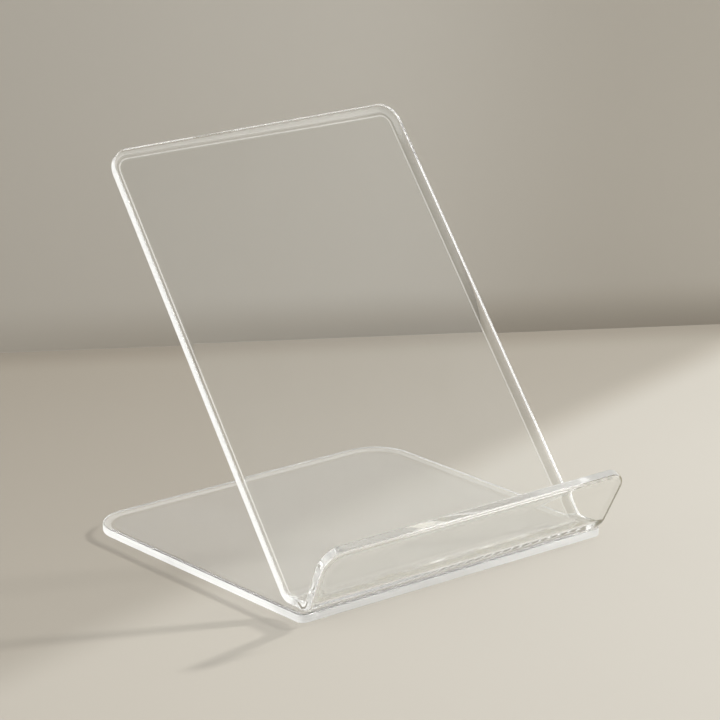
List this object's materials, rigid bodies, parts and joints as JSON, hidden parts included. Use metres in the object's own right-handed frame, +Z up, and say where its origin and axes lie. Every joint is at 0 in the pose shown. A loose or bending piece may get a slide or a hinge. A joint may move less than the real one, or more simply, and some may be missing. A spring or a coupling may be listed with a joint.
{
  "type": "magazine stand",
  "caption": "Clear acrylic magazine and book stand: a flat base plate carries one sheet bent twice, forming a leaning back panel and a short front lip.",
  "frame": {"origin": "middle of the base plate's underside, in the plane of the table", "axes": "+X to the stand's right, -Y to the front where the lip is, +Z up"},
  "size_m": [0.216, 0.215, 0.2212],
  "materials": {
    "clear_acrylic": "polished",
    "cement": "gloss"
  },
  "bodies": {
    "root": {"base_plate": "clear_acrylic", "back_panel_with_lip": "clear_acrylic", "cement_bead": "cement"}
  },
  "joints": []
}
